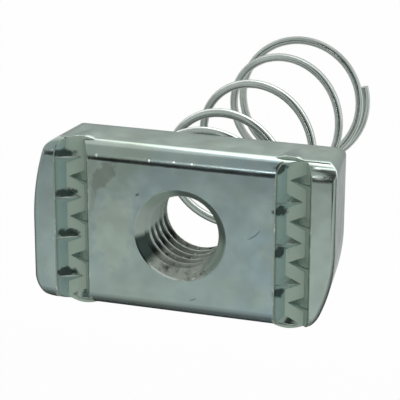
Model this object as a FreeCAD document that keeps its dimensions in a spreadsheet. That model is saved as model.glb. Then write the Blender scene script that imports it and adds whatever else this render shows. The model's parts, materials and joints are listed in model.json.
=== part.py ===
import FreeCAD, Part
import Sketcher
import math
import os

# Spring nut for steel strut channel, M10.
#
# The real product is two pieces: a cold-formed steel nut with two toothed grooves for the
# channel's lips, and a coiled wire spring whose first coil is staked to the nut's back.
#
# Frame: millimetres. The part stands on the spring's foot at z = 0, and the thread axis is Z.
# The nut's length lies along X and its width along Y. The clamping face, with the teeth, is
# on top and faces +Z. The nut's own sketches measure z from the clamping face.

SIZES = {
    # nut blank: bar with rolled long edges, sheared to length, two corners relieved so that
    # the nut turns in the channel and two left square as stops
    "nut_length": 36.3,
    "end_draft": 1.1,
    "nut_width": 20.0,
    "nut_thickness": 9.0,
    "long_edge_radius": 2.0,
    "right_square_radius": 1.3,
    "right_relief_radius": 19.5,
    "right_relieved_radius": 3.5,
    "left_square_radius": 3.2,
    "left_relief_radius": 29.0,
    "left_relieved_radius": 2.3,
    "end_roll_radius": 0.6,
    # lip grooves
    "groove_spacing": 26.4,
    "groove_floor_width": 2.2,
    "groove_depth": 1.5,
    "groove_wall_run": 0.95,
    # metal that the grooves' pressing squeezed out at their ends
    "bulge_height": 0.32,
    "bulge_radius": 4.0,
    "bulge_inset": 0.9,
    "bulge_depth": 4.5,
    # teeth: wedges that lean out of each groove wall, alternating from side to side
    "tooth_pitch": 4.89,
    "tooth_base_width": 1.75,
    "tooth_tip_gap": 0.28,
    "tooth_crest_drop": 0.05,
    "left_row_first_tooth": 7.7,
    "right_row_first_tooth": 7.5,
    # M10 thread at its minor diameter, countersunk at both mouths
    "thread_minor_radius": 4.25,
    "front_countersink_radius": 5.4,
    "back_countersink_radius": 5.0,
    # spring wire and its coils, counted in turns from the nut to the foot
    "wire_radius": 0.55,
    "base_coil_radius": 8.4,
    "foot_coil_radius": 9.28,
    "spring_length": 49.3,
    "spring_turns": 6.12,
    "foot_wire_angle": 16.3,
    "closed_coil_gap": 0.25,
    # how far the free coils stand off the thread axis, once clear of the staked coil
    "coil_offset_x": -0.67,
    "coil_offset_y": 0.4,
    # stakes punched up from the nut's back, which hold the spring's first coil
    "stake_direction": 15.0,
    "stake_sweep": 16.0,
    "stake_lip": 0.4,
    "stake_lip_thickness": 0.3,
    "stake_wall": 0.8,
    "stake_pit_depth": 0.7,
    "stake_pit_width": 0.9,
    "coil_clearance": 0.05,
}

CUT_MARGIN = 3.0          # how far a cutting section reaches past the nut
POINTS_PER_TURN = 24      # knots of the spring's centreline in each turn

# The spring's pitch, at turns counted from its staked end or back from its foot.
SEATED_TURNS = 0.65       # the base coil lies flat in its stakes up to here
CLIMBING_TURNS = 0.83     # here it climbs over its own end, at its steepest
CLEAR_TURNS = 1.34        # here it is clear of its own end
OPEN_TURNS = 2.59         # the coils are fully open from here
CLOSING_TURNS = 1.65      # before the foot: the coils are fully open up to here
LANDING_TURNS = 1.04      # before the foot: here the last coil comes down
FLAT_TURNS = 0.45         # before the foot: from here the wire lies flat
FLARE_TURNS = 2.0         # before the foot: from here the coil widens
SHIFT_TURNS = 1.0         # after the base coil: here the free coils stand on their own axis
CLIMBING_PITCHES = 4.7    # pitch there, in closed pitches
CLEAR_PITCHES = 2.6
LANDING_PITCHES = 3.6

doc = FreeCAD.newDocument("strut_spring_nut")
sheet = doc.addObject("Spreadsheet::Sheet", "sizes")
for row, (alias, value) in enumerate(SIZES.items(), start=1):
    sheet.set(f"A{row}", alias)
    sheet.set(f"B{row}", str(value))
    sheet.setAlias(f"B{row}", alias)
doc.recompute()


def size(alias):
    """A driving size, read back from the sheet."""
    return float(getattr(sheet, alias))


# ------------------------------------------------------------------ sketch helpers

def new_body(name):
    body = doc.addObject("PartDesign::Body", name)
    body.Label = name
    return body


def origin_item(body, role):
    """One of the body's own origin planes or axes, such as XY_Plane."""
    return next(item for item in body.Origin.OriginFeatures if item.Role == role)


def new_sketch(body, name, plane, offset=None):
    """A sketch on an origin plane, moved along the plane's normal by an expression."""
    sketch = body.newObject("Sketcher::SketchObject", name)
    sketch.AttachmentSupport = [(origin_item(body, plane), "")]
    sketch.MapMode = "FlatFace"
    if offset:
        sketch.setExpression("AttachmentOffset.Base.z", offset)
    return sketch


def drive(sketch, kind, *references, by):
    """Add a dimension to a sketch and drive it by an expression of the sheet's sizes."""
    value = sketch.evalExpression(by)
    index = sketch.addConstraint(Sketcher.Constraint(kind, *references, value))
    sketch.setExpression(f"Constraints[{index}]", by)


def place_point(sketch, geometry, vertex, across, up):
    """Fix a vertex at a distance across and up from the sketch's origin."""
    drive(sketch, "DistanceX", -1, 1, geometry, vertex, by=across)
    drive(sketch, "DistanceY", -1, 1, geometry, vertex, by=up)


def add_polygon(sketch, corners):
    """A closed outline of straight lines. Each corner is a pair of expressions."""
    points = [FreeCAD.Vector(sketch.evalExpression(across), sketch.evalExpression(up), 0)
              for across, up in corners]
    first = sketch.GeometryCount
    for start, end in zip(points, points[1:] + points[:1]):
        sketch.addGeometry(Part.LineSegment(start, end))
    lines = range(first, first + len(corners))
    for line, (across, up) in zip(lines, corners):
        following = line + 1 if line + 1 < lines.stop else first
        sketch.addConstraint(Sketcher.Constraint("Coincident", line, 2, following, 1))
        place_point(sketch, line, 1, across, up)


def add_rectangle(sketch, half_width, half_height, middle="0"):
    """A rectangle about the sketch's vertical axis, its middle at a given height."""
    low, high = f"({middle}) - ({half_height})", f"({middle}) + ({half_height})"
    add_polygon(sketch, [(f"-({half_width})", low), (half_width, low),
                         (half_width, high), (f"-({half_width})", high)])


def add_rounded_outline(sketch, corners):
    """A closed outline whose corners are rounded.

    Each corner is (across, up, radius) in expressions, anticlockwise and at right angles.
    """
    plain = [(sketch.evalExpression(across), sketch.evalExpression(up),
              sketch.evalExpression(radius)) for across, up, radius in corners]
    count = len(corners)
    arcs = []
    for index, (across, up, radius) in enumerate(plain):
        before = plain[index - 1]
        turn = math.atan2(up - before[1], across - before[0])
        inward = (math.cos(turn + math.pi / 2), math.sin(turn + math.pi / 2))
        centre = FreeCAD.Vector(across - radius * math.cos(turn) + radius * inward[0],
                                up - radius * math.sin(turn) + radius * inward[1], 0)
        circle = Part.Circle(centre, FreeCAD.Vector(0, 0, 1), radius)
        arcs.append(Part.ArcOfCircle(circle, turn - math.pi / 2, turn))
    first = sketch.GeometryCount
    for arc in arcs:
        sketch.addGeometry(arc)
    for arc, following in zip(arcs, arcs[1:] + arcs[:1]):
        sketch.addGeometry(Part.LineSegment(arc.EndPoint, following.StartPoint))
    for index, (across, up, radius) in enumerate(corners):
        arc, line = first + index, first + count + index
        following = first + (index + 1) % count
        sketch.addConstraint(Sketcher.Constraint("Tangent", arc, 2, line, 1))
        sketch.addConstraint(Sketcher.Constraint("Tangent", line, 2, following, 1))
        drive(sketch, "Radius", arc, by=radius)
        level = plain[index][1] == plain[(index + 1) % count][1]
        sketch.addConstraint(Sketcher.Constraint("Horizontal" if level else "Vertical", line))
        if level:
            drive(sketch, "DistanceY", -1, 1, line, 1, by=up)
        else:
            drive(sketch, "DistanceX", -1, 1, line, 1, by=across)


# ---------------------------------------------------------------- feature helpers

def finish_feature(body, feature):
    """Recompute, make the feature the body's tip and return the body's new volume."""
    body.Tip = feature
    doc.recompute()
    if feature.Shape.isNull() or not feature.Shape.isValid():
        raise RuntimeError(f"{feature.Name} has no valid shape: {feature.getStatusString()}")
    return feature.Shape.Volume


def cut(body, feature):
    """Finish a feature that must take metal away."""
    before = body.Shape.Volume
    if finish_feature(body, feature) >= before - 1e-6:
        raise RuntimeError(f"{feature.Name} cut nothing")
    return feature


def cut_through(body, name, sketch):
    """Cut a sketch's area through the whole body, on both sides of the sketch."""
    pocket = body.newObject("PartDesign::Pocket", name)
    pocket.Profile = sketch
    pocket.Type = "ThroughAll"
    pocket.Midplane = True
    return cut(body, pocket)


def add(body, feature):
    """Finish a feature that must add metal."""
    before = body.Shape.Volume
    if finish_feature(body, feature) <= before + 1e-6:
        raise RuntimeError(f"{feature.Name} added nothing")
    return feature


# ---------------------------------------------------------------------- nut body

HALF_LENGTH = "sizes.nut_length / 2"
HALF_WIDTH = "sizes.nut_width / 2"
OUTER_FLOOR = "(sizes.groove_spacing + sizes.groove_floor_width) / 2"
INNER_FLOOR = "(sizes.groove_spacing - sizes.groove_floor_width) / 2"
OUTER_WALL = f"{OUTER_FLOOR} + sizes.groove_wall_run"
INNER_WALL = f"{INNER_FLOOR} - sizes.groove_wall_run"


def blank_outline(body, name, depth, half_length):
    """The blank's outline at a depth below the clamping face, with a given half length.

    Each end is straight up to the middle of the nut, then follows a wide arc to a small
    relieved corner, so the outline is the same turned half round the thread.
    """
    sketch = new_sketch(body, name, "XY_Plane", offset=f"-({depth})")
    reach, half_width = sketch.evalExpression(half_length), size("nut_width") / 2
    up_axis = FreeCAD.Vector(0, 0, 1)
    sides = []
    for sign, turned, end in ((1, 0.0, "right"), (-1, math.pi, "left")):
        square, sweep, corner = (size(f"{end}_{place}_radius")
                                 for place in ("square", "relief", "relieved"))
        slant = math.asin((half_width - corner) / (sweep - corner))
        corner_centre = FreeCAD.Vector(
            sign * (reach - sweep + (sweep - corner) * math.cos(slant)),
            -sign * (half_width - corner), 0)
        sweep_centre = FreeCAD.Vector(sign * (reach - sweep), 0, 0)
        square_centre = FreeCAD.Vector(sign * (reach - square), sign * (half_width - square), 0)
        corner_arc = Part.ArcOfCircle(Part.Circle(corner_centre, up_axis, corner),
                                      turned - math.pi / 2, turned - slant)
        sweep_arc = Part.ArcOfCircle(Part.Circle(sweep_centre, up_axis, sweep), turned - slant, turned)
        square_arc = Part.ArcOfCircle(Part.Circle(square_centre, up_axis, square),
                                      turned, turned + math.pi / 2)
        sides.append((corner_arc, sweep_arc, square_arc))
    for side, other in ((sides[0], sides[1]), (sides[1], sides[0])):
        corner_arc, sweep_arc, square_arc = side
        sketch.addGeometry(corner_arc)
        sketch.addGeometry(sweep_arc)
        sketch.addGeometry(Part.LineSegment(sweep_arc.EndPoint, square_arc.StartPoint))
        sketch.addGeometry(square_arc)
        sketch.addGeometry(Part.LineSegment(square_arc.EndPoint, other[0].StartPoint))
    pieces = sketch.GeometryCount
    for piece in range(pieces):
        following = (piece + 1) % pieces
        sketch.addConstraint(Sketcher.Constraint("Tangent", piece, 2, following, 1))
    for start, sign, end in ((0, "", "right"), (pieces // 2, "-", "left")):
        corner_arc, sweep_arc, end_line, square_arc, long_line = range(start, start + pieces // 2)
        drive(sketch, "Radius", corner_arc, by=f"sizes.{end}_relieved_radius")
        drive(sketch, "Radius", sweep_arc, by=f"sizes.{end}_relief_radius")
        drive(sketch, "Radius", square_arc, by=f"sizes.{end}_square_radius")
        sketch.addConstraint(Sketcher.Constraint("Vertical", end_line))
        sketch.addConstraint(Sketcher.Constraint("Horizontal", long_line))
        place_point(sketch, end_line, 1, across=f"{sign}({half_length})", up="0")
        drive(sketch, "DistanceY", -1, 1, long_line, 1, by=f"{sign}({HALF_WIDTH})")
    return sketch


def make_blank(body):
    """The sheared blank, its top at z = 0: the shear leaves both ends shorter at the back."""
    blank = body.newObject("PartDesign::AdditiveLoft", "blank")
    blank.Profile = blank_outline(body, "front_outline", "0", HALF_LENGTH)
    blank.Sections = [blank_outline(body, "back_outline", "sizes.nut_thickness",
                                    f"{HALF_LENGTH} - sizes.end_draft")]
    blank.Ruled = True
    finish_feature(body, blank)

    rims = [f"Edge{index}" for index, edge in enumerate(blank.Shape.Edges, start=1)
            if edge.BoundBox.ZLength < 1e-6]
    rolls = body.newObject("PartDesign::Fillet", "sheared_edge_rolls")
    rolls.Base = (blank, rims)
    rolls.setExpression("Radius", "sizes.end_roll_radius")
    cut(body, rolls)


def cut_grooves(body):
    """Two grooves across the nut, with sloping walls and a flat floor."""
    for side, sign in (("left", "-"), ("right", "")):
        sketch = new_sketch(body, f"{side}_groove_section", "XZ_Plane")
        floor = "-sizes.groove_depth"
        rise = f"{CUT_MARGIN}"
        overrun = f"sizes.groove_wall_run * {rise} / sizes.groove_depth"
        add_polygon(sketch, [
            (f"{sign}({INNER_FLOOR})", floor),
            (f"{sign}({OUTER_FLOOR})", floor),
            (f"{sign}({OUTER_WALL} + {overrun})", rise),
            (f"{sign}({INNER_WALL} - {overrun})", rise),
        ])
        cut_through(body, f"{side}_groove", sketch)


def raise_teeth(body, name, wall, lean, first_tooth, count):
    """A row of wedges that lean out of one groove wall.

    Each wedge is a triangular prism pushed out of the wall at a slant: its crest starts just
    under the wall's top edge and meets the floor just short of the opposite wall. lean is "1"
    where the wedges point along +X and "-1" where they point along -X.
    """
    reach = "(sizes.groove_wall_run + sizes.groove_floor_width - sizes.tooth_tip_gap)"
    fall = "(sizes.groove_depth - sizes.tooth_crest_drop)"
    crest_at_foot = f"({fall} * (1 - sizes.groove_wall_run / {reach}))"
    half_section = f"sizes.tooth_base_width / 2 * {fall} / {crest_at_foot}"
    sketch = new_sketch(body, f"{name}_tooth_section", "YZ_Plane", offset=wall)
    add_polygon(sketch, [
        (f"{first_tooth} - {half_section}", "-sizes.groove_depth"),
        (f"{first_tooth} + {half_section}", "-sizes.groove_depth"),
        (first_tooth, "-sizes.tooth_crest_drop"),
    ])
    pad = body.newObject("PartDesign::Pad", f"{name}_tooth")
    pad.Profile = sketch
    pad.UseCustomVector = True
    pad.setExpression("Direction.x", f"{lean} * {reach}")
    pad.setExpression("Direction.y", "0")
    pad.setExpression("Direction.z", f"-{fall}")
    pad.AlongSketchNormal = True
    pad.setExpression("Length", reach)
    add(body, pad)

    row = body.newObject("PartDesign::LinearPattern", f"{name}_teeth")
    row.Originals = [pad]
    row.Direction = (origin_item(body, "Y_Axis"), [""])
    row.Reversed = True
    row.Mode = "Spacing"
    row.setExpression("Offset", "sizes.tooth_pitch")
    row.Occurrences = int(count)
    add(body, row)


def trim_to_bar(body):
    """Cut away all that lies outside the bar's section, with its rolled long edges."""
    sketch = new_sketch(body, "bar_section", "YZ_Plane")
    middle = "-sizes.nut_thickness / 2"
    add_rectangle(sketch, f"{HALF_WIDTH} + {CUT_MARGIN}",
                  f"sizes.nut_thickness / 2 + {CUT_MARGIN}", middle)
    radius = "sizes.long_edge_radius"
    top, bottom = "0", "-sizes.nut_thickness"
    add_rounded_outline(sketch, [
        (f"-({HALF_WIDTH})", bottom, radius), (HALF_WIDTH, bottom, radius),
        (HALF_WIDTH, top, radius), (f"-({HALF_WIDTH})", top, radius),
    ])
    cut_through(body, "bar_trim", sketch)


def squeeze_groove_ends(body):
    """Shallow bulges at both ends of both grooves, level with the floor and dying out below.

    Each is the rim of a tapered boss inside the nut, which reaches past the nut's long side.
    """
    sketch = new_sketch(body, "bulge_section", "XY_Plane", offset="-sizes.groove_depth")
    across = "sizes.groove_spacing / 2 - sizes.bulge_inset"
    up = f"{HALF_WIDTH} + sizes.bulge_height - sizes.bulge_radius"
    for sign_across in ("", "-"):
        for sign_up in ("", "-"):
            place = (f"{sign_across}({across})", f"{sign_up}({up})")
            centre = FreeCAD.Vector(*[sketch.evalExpression(expression) for expression in place], 0)
            circle = sketch.addGeometry(
                Part.Circle(centre, FreeCAD.Vector(0, 0, 1), size("bulge_radius")))
            drive(sketch, "Radius", circle, by="sizes.bulge_radius")
            place_point(sketch, circle, 3, *place)
    pad = body.newObject("PartDesign::Pad", "groove_end_bulges")
    pad.Profile = sketch
    pad.Reversed = True
    pad.setExpression("Length", "sizes.bulge_depth")
    pad.setExpression("TaperAngle", "-1 * atan(sizes.bulge_height / sizes.bulge_depth)")
    add(body, pad)


def bore_thread(body):
    """The threaded hole at its minor diameter, countersunk at both faces."""
    sketch = new_sketch(body, "bore_section", "XZ_Plane")
    bore, front, back = ("sizes.thread_minor_radius", "sizes.front_countersink_radius",
                         "sizes.back_countersink_radius")
    add_polygon(sketch, [
        ("0", "0"), ("0", "-sizes.nut_thickness"),
        (back, "-sizes.nut_thickness"), (bore, f"-sizes.nut_thickness + {back} - {bore}"),
        (bore, f"-({front} - {bore})"), (front, "0"),
    ])
    groove = body.newObject("PartDesign::Groove", "thread_bore")
    groove.Profile = sketch
    groove.ReferenceAxis = (origin_item(body, "Z_Axis"), [""])
    groove.Angle = 360
    cut(body, groove)


COIL_SEAT = "sizes.wire_radius + sizes.coil_clearance"      # back face to the wire's centre


def stake_section(body, name):
    """A sketch that stands on the thread axis, turned to the first stake's direction."""
    sketch = new_sketch(body, name, "XZ_Plane")
    sketch.AttachmentOffset = FreeCAD.Placement(
        FreeCAD.Vector(), FreeCAD.Rotation(FreeCAD.Vector(0, 1, 0), 1))
    sketch.setExpression("AttachmentOffset.Rotation.Angle", "sizes.stake_direction")
    return sketch


def stake_base_coil(body):
    """Two stakes on the nut's back, opposite each other, folded over the first coil.

    Each is metal punched up out of a small pit beside the coil, with a lip over the wire.
    """
    back = "-sizes.nut_thickness"
    root = f"{back} + sizes.stake_pit_depth"
    inner = f"sizes.base_coil_radius + {COIL_SEAT}"
    outer = f"{inner} + sizes.stake_wall"
    lip_inner = f"{inner} - sizes.stake_lip"
    lip_low = f"{back} - 2 * ({COIL_SEAT})"
    lip_end = f"{lip_low} - sizes.stake_lip_thickness"

    lip_sketch = stake_section(body, "stake_section")
    add_polygon(lip_sketch, [
        (inner, root), (inner, lip_low), (lip_inner, lip_low), (lip_inner, lip_end),
        (inner, lip_end), (outer, back), (outer, root),
    ])
    stake = body.newObject("PartDesign::Revolution", "stake")
    stake.Profile = lip_sketch
    stake.ReferenceAxis = (origin_item(body, "Z_Axis"), [""])
    stake.Midplane = True
    stake.setExpression("Angle", "sizes.stake_sweep")
    add(body, stake)

    pit_sketch = stake_section(body, "stake_pit_section")
    add_polygon(pit_sketch, [
        (outer, back), (outer, root), (f"{outer} + sizes.stake_pit_width", back),
    ])
    pit = body.newObject("PartDesign::Groove", "stake_pit")
    pit.Profile = pit_sketch
    pit.ReferenceAxis = (origin_item(body, "Z_Axis"), [""])
    pit.Midplane = True
    pit.setExpression("Angle", "sizes.stake_sweep")
    cut(body, pit)

    pair = body.newObject("PartDesign::PolarPattern", "stakes")
    pair.Originals = [stake, pit]
    pair.Axis = (origin_item(body, "Z_Axis"), [""])
    pair.Angle = 360
    pair.Occurrences = 2
    add(body, pair)


# ------------------------------------------------------------------------- spring

def pitch_knots():
    """The coil's pitch at chosen turns from the nut, as (turn, closed pitch, open share).

    The pitch is the closed pitch plus that share of the open coils' pitch. The first coil
    lies flat in its stakes, then climbs over its own end; the foot closes on the coil before
    it and ends flat.
    """
    turns = size("spring_turns")
    touching = 2 * size("wire_radius") + size("closed_coil_gap")
    return [
        (0.0, 0.0, 0.0),
        (SEATED_TURNS, 0.0, 0.0),
        (CLIMBING_TURNS, CLIMBING_PITCHES * touching, 0.0),
        (CLEAR_TURNS, CLEAR_PITCHES * touching, 0.0),
        (OPEN_TURNS, 0.0, 1.0),
        (turns - CLOSING_TURNS, 0.0, 1.0),
        (turns - LANDING_TURNS, LANDING_PITCHES * touching, 0.0),
        (turns - FLAT_TURNS, 0.0, 0.0),
        (turns, 0.0, 0.0),
    ]


def area_below(knots, turn, column):
    """The integral of one column of the pitch knots from the nut to a given turn."""
    total = 0.0
    for before, after in zip(knots, knots[1:]):
        if turn <= before[0]:
            break
        end = min(turn, after[0])
        share = (end - before[0]) / (after[0] - before[0])
        value = before[column] + share * (after[column] - before[column])
        total += (before[column] + value) / 2 * (end - before[0])
    return total


def coil_centreline():
    """Points along the wire's centreline, from the staked end to the foot."""
    turns = size("spring_turns")
    knots = pitch_knots()
    seat = size("wire_radius") + size("coil_clearance")
    closed_rise = area_below(knots, turns, 1)
    foot_drop = size("spring_length") - size("wire_radius")
    open_pitch = (foot_drop - seat - closed_rise) / area_below(knots, turns, 2)
    base_radius, foot_radius = size("base_coil_radius"), size("foot_coil_radius")
    foot_angle = math.radians(size("foot_wire_angle"))
    count = round(turns * POINTS_PER_TURN)
    points = []
    for index in range(count + 1):
        turn = turns * index / count
        drop = seat + area_below(knots, turn, 1) + open_pitch * area_below(knots, turn, 2)
        flare = max(0.0, 1 - (turns - turn) / FLARE_TURNS)
        radius = base_radius + (foot_radius - base_radius) * flare ** 2
        angle = foot_angle - 2 * math.pi * (turns - turn)
        shift = min(1.0, max(0.0, (turn - SEATED_TURNS) / SHIFT_TURNS))
        shift = shift ** 2 * (3 - 2 * shift)
        points.append(FreeCAD.Vector(shift * size("coil_offset_x") + radius * math.cos(angle),
                                     shift * size("coil_offset_y") + radius * math.sin(angle),
                                     size("spring_length") - drop))
    return points


def make_spring():
    """The spring: a round wire swept along its coiled centreline, left-handed."""
    points = coil_centreline()
    curve = Part.BSplineCurve()
    curve.interpolate(points)
    spine = doc.addObject("Part::Feature", "spring_centreline")
    spine.Shape = curve.toShape()

    section = doc.addObject("Part::Circle", "wire_section")
    section.setExpression("Radius", "sizes.wire_radius")
    along = curve.tangent(curve.FirstParameter)[0]
    section.Placement = FreeCAD.Placement(
        points[0], FreeCAD.Rotation(FreeCAD.Vector(0, 0, 1), along))

    spring = doc.addObject("Part::Sweep", "spring")
    spring.Label = "spring"
    spring.Sections = [section]
    spring.Spine = (spine, ["Edge1"])
    spring.Solid = True
    spring.Frenet = True
    doc.recompute()
    wire_volume = math.pi * size("wire_radius") ** 2 * curve.length()
    if abs(spring.Shape.Volume / wire_volume - 1) > 0.01:
        raise RuntimeError("the swept wire isn't the full section along its length")
    return spring


# ------------------------------------------------------------------ build and export

# each groove wall: its top edge, which way its teeth lean, its first tooth and their number
WALLS = {
    "left_outer": (f"-({OUTER_WALL})", "1", "sizes.left_row_first_tooth", 4),
    "left_inner": (f"-({INNER_WALL})", "-1",
                   "sizes.left_row_first_tooth - sizes.tooth_pitch / 2", 4),
    "right_outer": (OUTER_WALL, "-1", "sizes.right_row_first_tooth", 4),
    "right_inner": (INNER_WALL, "1",
                    "sizes.right_row_first_tooth + sizes.tooth_pitch / 2", 5),
}


def make_nut():
    nut = new_body("nut_body")
    nut.setExpression("Placement.Base.z", "sizes.nut_thickness + sizes.spring_length")
    make_blank(nut)
    cut_grooves(nut)
    for name, (wall, lean, first_tooth, count) in WALLS.items():
        raise_teeth(nut, name, wall, lean, first_tooth, count)
    trim_to_bar(nut)
    squeeze_groove_ends(nut)
    bore_thread(nut)
    stake_base_coil(nut)
    return nut


def export(pieces):
    """Check every object of the document, then write each piece to its own file."""
    doc.recompute()
    failed = [item.Name for item in doc.Objects if {"Invalid", "Error"} & set(item.State)]
    if failed:
        raise RuntimeError(f"failed objects: {failed}")
    for piece in pieces:
        shape = piece.Shape
        if shape.isNull() or not shape.isValid() or len(shape.Solids) != 1:
            raise RuntimeError(f"{piece.Label} is not one valid solid")
    os.makedirs("parts", exist_ok=True)
    for piece in pieces:
        piece.Shape.exportStep(f"parts/{piece.Label}.step")
        print(piece.Label, round(piece.Shape.Volume, 1), "mm3")


export([make_nut(), make_spring()])
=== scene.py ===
import json
import math

import bmesh
import bpy
from bpy.props import FloatProperty, FloatVectorProperty, IntProperty, PointerProperty
from bpy.types import Operator, Panel, PropertyGroup
from mathutils import Euler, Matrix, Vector


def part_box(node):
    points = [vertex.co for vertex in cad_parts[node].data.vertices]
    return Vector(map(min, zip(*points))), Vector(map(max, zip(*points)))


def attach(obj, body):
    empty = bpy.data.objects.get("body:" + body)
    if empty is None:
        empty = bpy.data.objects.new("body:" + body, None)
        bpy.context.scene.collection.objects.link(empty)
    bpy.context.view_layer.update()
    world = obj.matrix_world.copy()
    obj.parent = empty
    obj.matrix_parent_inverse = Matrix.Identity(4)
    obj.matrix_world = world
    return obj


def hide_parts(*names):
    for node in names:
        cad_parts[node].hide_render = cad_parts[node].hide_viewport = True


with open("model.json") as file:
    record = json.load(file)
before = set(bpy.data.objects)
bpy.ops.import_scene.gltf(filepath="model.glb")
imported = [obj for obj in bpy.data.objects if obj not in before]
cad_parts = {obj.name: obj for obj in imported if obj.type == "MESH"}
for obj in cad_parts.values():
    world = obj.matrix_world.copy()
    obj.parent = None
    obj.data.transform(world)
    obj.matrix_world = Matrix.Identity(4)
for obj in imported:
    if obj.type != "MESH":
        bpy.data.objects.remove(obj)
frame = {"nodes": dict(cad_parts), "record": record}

bl_info = {
    "name": "Strut Spring Nut",
    "version": (1, 0, 0),
    "blender": (4, 5, 0),
    "location": "3D Viewport > Sidebar > Strut Nut",
    "description": "Dresses the CAD model of a strut channel spring nut",
    "category": "Object",
}

MM = 0.001
FULL_TURN = 2 * math.pi
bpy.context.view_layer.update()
CLAMPING_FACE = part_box("nut_body")[1].z
THREAD = next(mount for mount in frame["record"]["mounts"] if mount["name"] == "thread")
BORE_RADIUS = THREAD["dims"]["r_mm"] * MM
NUT_THICKNESS = 9.0 * MM
NUT_BACK = CLAMPING_FACE - NUT_THICKNESS
SHARP_ANGLE = math.radians(25.0)         # edges of the nut that are sharper stay sharp
WIRE_SHARP_ANGLE = math.radians(40.0)    # and those of the wire

# Where the finish changes on the clamping face, from the thread's axis along X.
BLUE_REACH = 11.0 * MM                   # the blue tint grows from this far left to as far right
PAD_END = 11.1 * MM
GROOVE_CENTRE = 13.2 * MM
GROOVE_HALF_WIDTH = 2.3 * MM
FLANGE_START = 15.2 * MM

# How deep the finish of the clamping face goes, and what bounds it in the grooves.
FRONT_DEPTH = 1.4 * MM
GROOVE_DEPTH = 1.9 * MM
GROOVE_SINK = (0.05 * MM, 0.4 * MM)      # depths over which the grooves' tint sets in
GROOVE_LEAN = (0.2, 0.4)                 # how far a face leans along +Y where it fades

# Marks on the plating, and the thread.
TOOTH_PITCH = 4.89                       # in millimetres, as the marks' own sizes are
MARK_EDGE = (0.7, 1.1)                   # where a mark fades, in shares of its reach
MARK_GRAIN = 1100.0                      # scale of the noise that makes its edge ragged
CREST_BAND = (0.05 * MM, 0.20 * MM)      # how far outside the bore the crests' shine fades
RIM_BAND = 0.12 * MM                     # width of the painted highlight along the thread's rim

DULL_SHEEN = (0.45, 0.46, 0.47, 1.0)     # of plating and thread, seen at a flat angle
STUDIO_WHITE = (0.95, 1.0, 0.98, 1.0)    # of the cards and the ceiling


# ---------------------------------------------------------------- settings

def length(name, description, default, least=0.0):
    """A property for a length in metres."""
    return FloatProperty(name=name, description=description, default=default, min=least,
                         precision=5, unit="LENGTH")


def fraction(name, description, default):
    """A property for a fraction from 0 to 1."""
    return FloatProperty(name=name, description=description, default=default, min=0.0, max=1.0)


def colour(name, description, default):
    """A property for a colour."""
    return FloatVectorProperty(name=name, description=description, default=default, size=3,
                               min=0.0, max=1.0, subtype="COLOR")


class NutSettings(PropertyGroup):
    """Sizes and finishes of the nut body"""

    edge_rounding: length(
        "Edge Rounding", "Width of the worn rounding on proud sharp edges", 0.10 * MM)
    thread_pitch: length(
        "Thread Pitch", "Distance between two turns of the thread", 1.5 * MM, 0.1 * MM)
    thread_major_radius: length(
        "Thread Major Radius", "Radius at the bottom of the thread's groove", 5.0 * MM, MM)
    thread_root_share: fraction(
        "Thread Root Share", "Share of the pitch that is the groove's flat root", 0.22)
    thread_crest_share: fraction(
        "Thread Crest Share", "Share of the pitch at which the flat crest starts", 0.86)
    thread_steps: IntProperty(
        name="Thread Steps", description="Vertices round the thread", default=145, min=12)
    thread_rings: IntProperty(
        name="Thread Rings", description="Vertices along the thread", default=201, min=12)
    front_mouth_radius: length(
        "Front Mouth Radius", "Radius of the countersink in the clamping face", 5.4 * MM, MM)
    back_mouth_radius: length(
        "Back Mouth Radius", "Radius of the countersink in the nut's back", 5.0 * MM, MM)
    zinc: colour("Zinc", "Plating on the open faces", (0.366, 0.433, 0.390))
    # paler zinc in clouds, which also paints the lighter tone on the thread's upper left
    pale_zinc_and_sheen: colour("Pale Zinc", "Slightly brighter clouds in the plating",
                      (0.425, 0.500, 0.455))
    zinc_blue: colour("Blue Zinc", "Blue tint of the passivated plating",
                      (0.315, 0.420, 0.490))
    zinc_olive: colour("Olive Zinc", "Yellow-green tint of the passivated plating",
                       (0.350, 0.410, 0.310))
    # partly worn plating and partly a painted highlight, on edges and in the thread
    worn_zinc_and_sheen: colour("Worn Zinc", "Plating rubbed bright on edges", (0.800, 0.860, 0.830))
    # partly the plating's own tint in the grooves and partly painted light, as it is kept off
    # facets that face +Y
    groove_olive: colour("Groove Olive", "Tint of the plating in the grooves",
                         (0.430, 0.525, 0.445))
    # painted shade: a darker teal on groove walls that lean along +X
    groove_teal_shade: colour("Groove Teal", "Tint of the groove walls that lean along +X",
                        (0.330, 0.455, 0.425))
    groove_mattness: fraction("Groove Mattness", "Matt share of the plating in the grooves", 0.75)
    # dark steel, which also paints shade on the thread's lower left and upper right
    thread_steel_and_shade: colour("Thread Steel", "Dark oiled steel of the cut thread",
                         (0.055, 0.075, 0.068))
    thread_zinc: colour("Thread Zinc", "Zinc on the plated side of the thread",
                        (0.330, 0.410, 0.355))
    thread_brown: colour("Thread Brown", "Brown oil stains in the thread",
                         (0.475, 0.510, 0.450))
    # the crests' colour is partly worn bare metal and partly a painted highlight
    thread_crest: colour("Thread Crest", "Bare metal on the thread's crests",
                         (0.600, 0.640, 0.600))
    thread_mattness: fraction(
        "Thread Mattness", "Matt share of the plated side of the thread", 0.8)


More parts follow.
